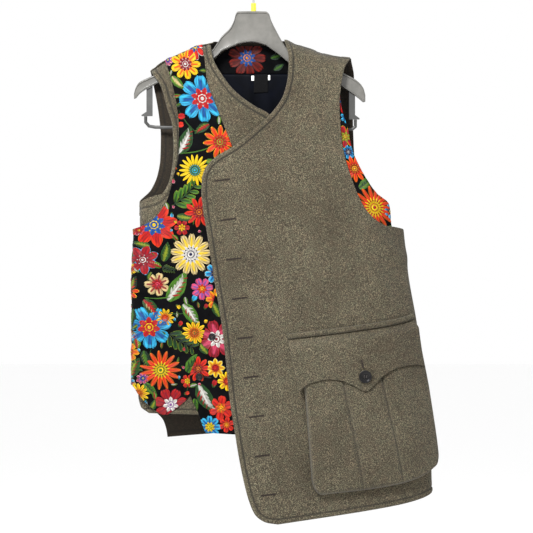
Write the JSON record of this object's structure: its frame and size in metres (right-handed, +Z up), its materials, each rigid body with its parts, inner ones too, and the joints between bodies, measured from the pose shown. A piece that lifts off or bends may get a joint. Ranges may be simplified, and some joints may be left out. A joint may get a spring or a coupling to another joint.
{
  "type": "waistcoat on a hanger",
  "caption": "long tweed and embroidered velvet waistcoat with interleaved fronts and a pleated patch pocket, on a moulded hanger",
  "frame": {"origin": "the hook's inside top, where it rests on its rail", "axes": "+X to the viewer's right, +Y to the back, +Z up; the front faces -Y"},
  "size_m": [0.5535, 0.1025, 1.0024],
  "materials": {
    "tweed": "melange wool tweed, matt",
    "velvet": "black velvet with raised satin-stitch flowers",
    "navy_lining": "navy satin lining",
    "black_button": "black four-hole button",
    "white_tape": "white cotton tape",
    "label_cloth": "dark woven label, bare",
    "hanger_plastic": "pale grey moulded plastic",
    "hook_metal": "plated wire",
    "dark_plastic": "dark grey plastic",
    "yellow_plastic": "yellow plastic"
  },
  "bodies": {
    "root": {"under_front": "tweed", "floral_front_right": "velvet", "floral_front_left": "velvet", "long_front": "tweed", "tweed_back": "tweed", "yoke_inside": "velvet", "back_lining": "navy_lining", "hang_loop": "white_tape", "neck_label": "label_cloth", "pocket_bag": "tweed", "pocket_flap": "tweed", "pocket_welt": "tweed", "pocket_button": "black_button", "floral_button_upper": "black_button", "floral_button_lower": "black_button", "hanger_body": "hanger_plastic", "hanger_hook": "hook_metal", "hook_sleeve": "yellow_plastic", "hanger_bracket_left": "dark_plastic", "hanger_bracket_right": "dark_plastic", "trouser_bar": "dark_plastic"}
  },
  "joints": []
}
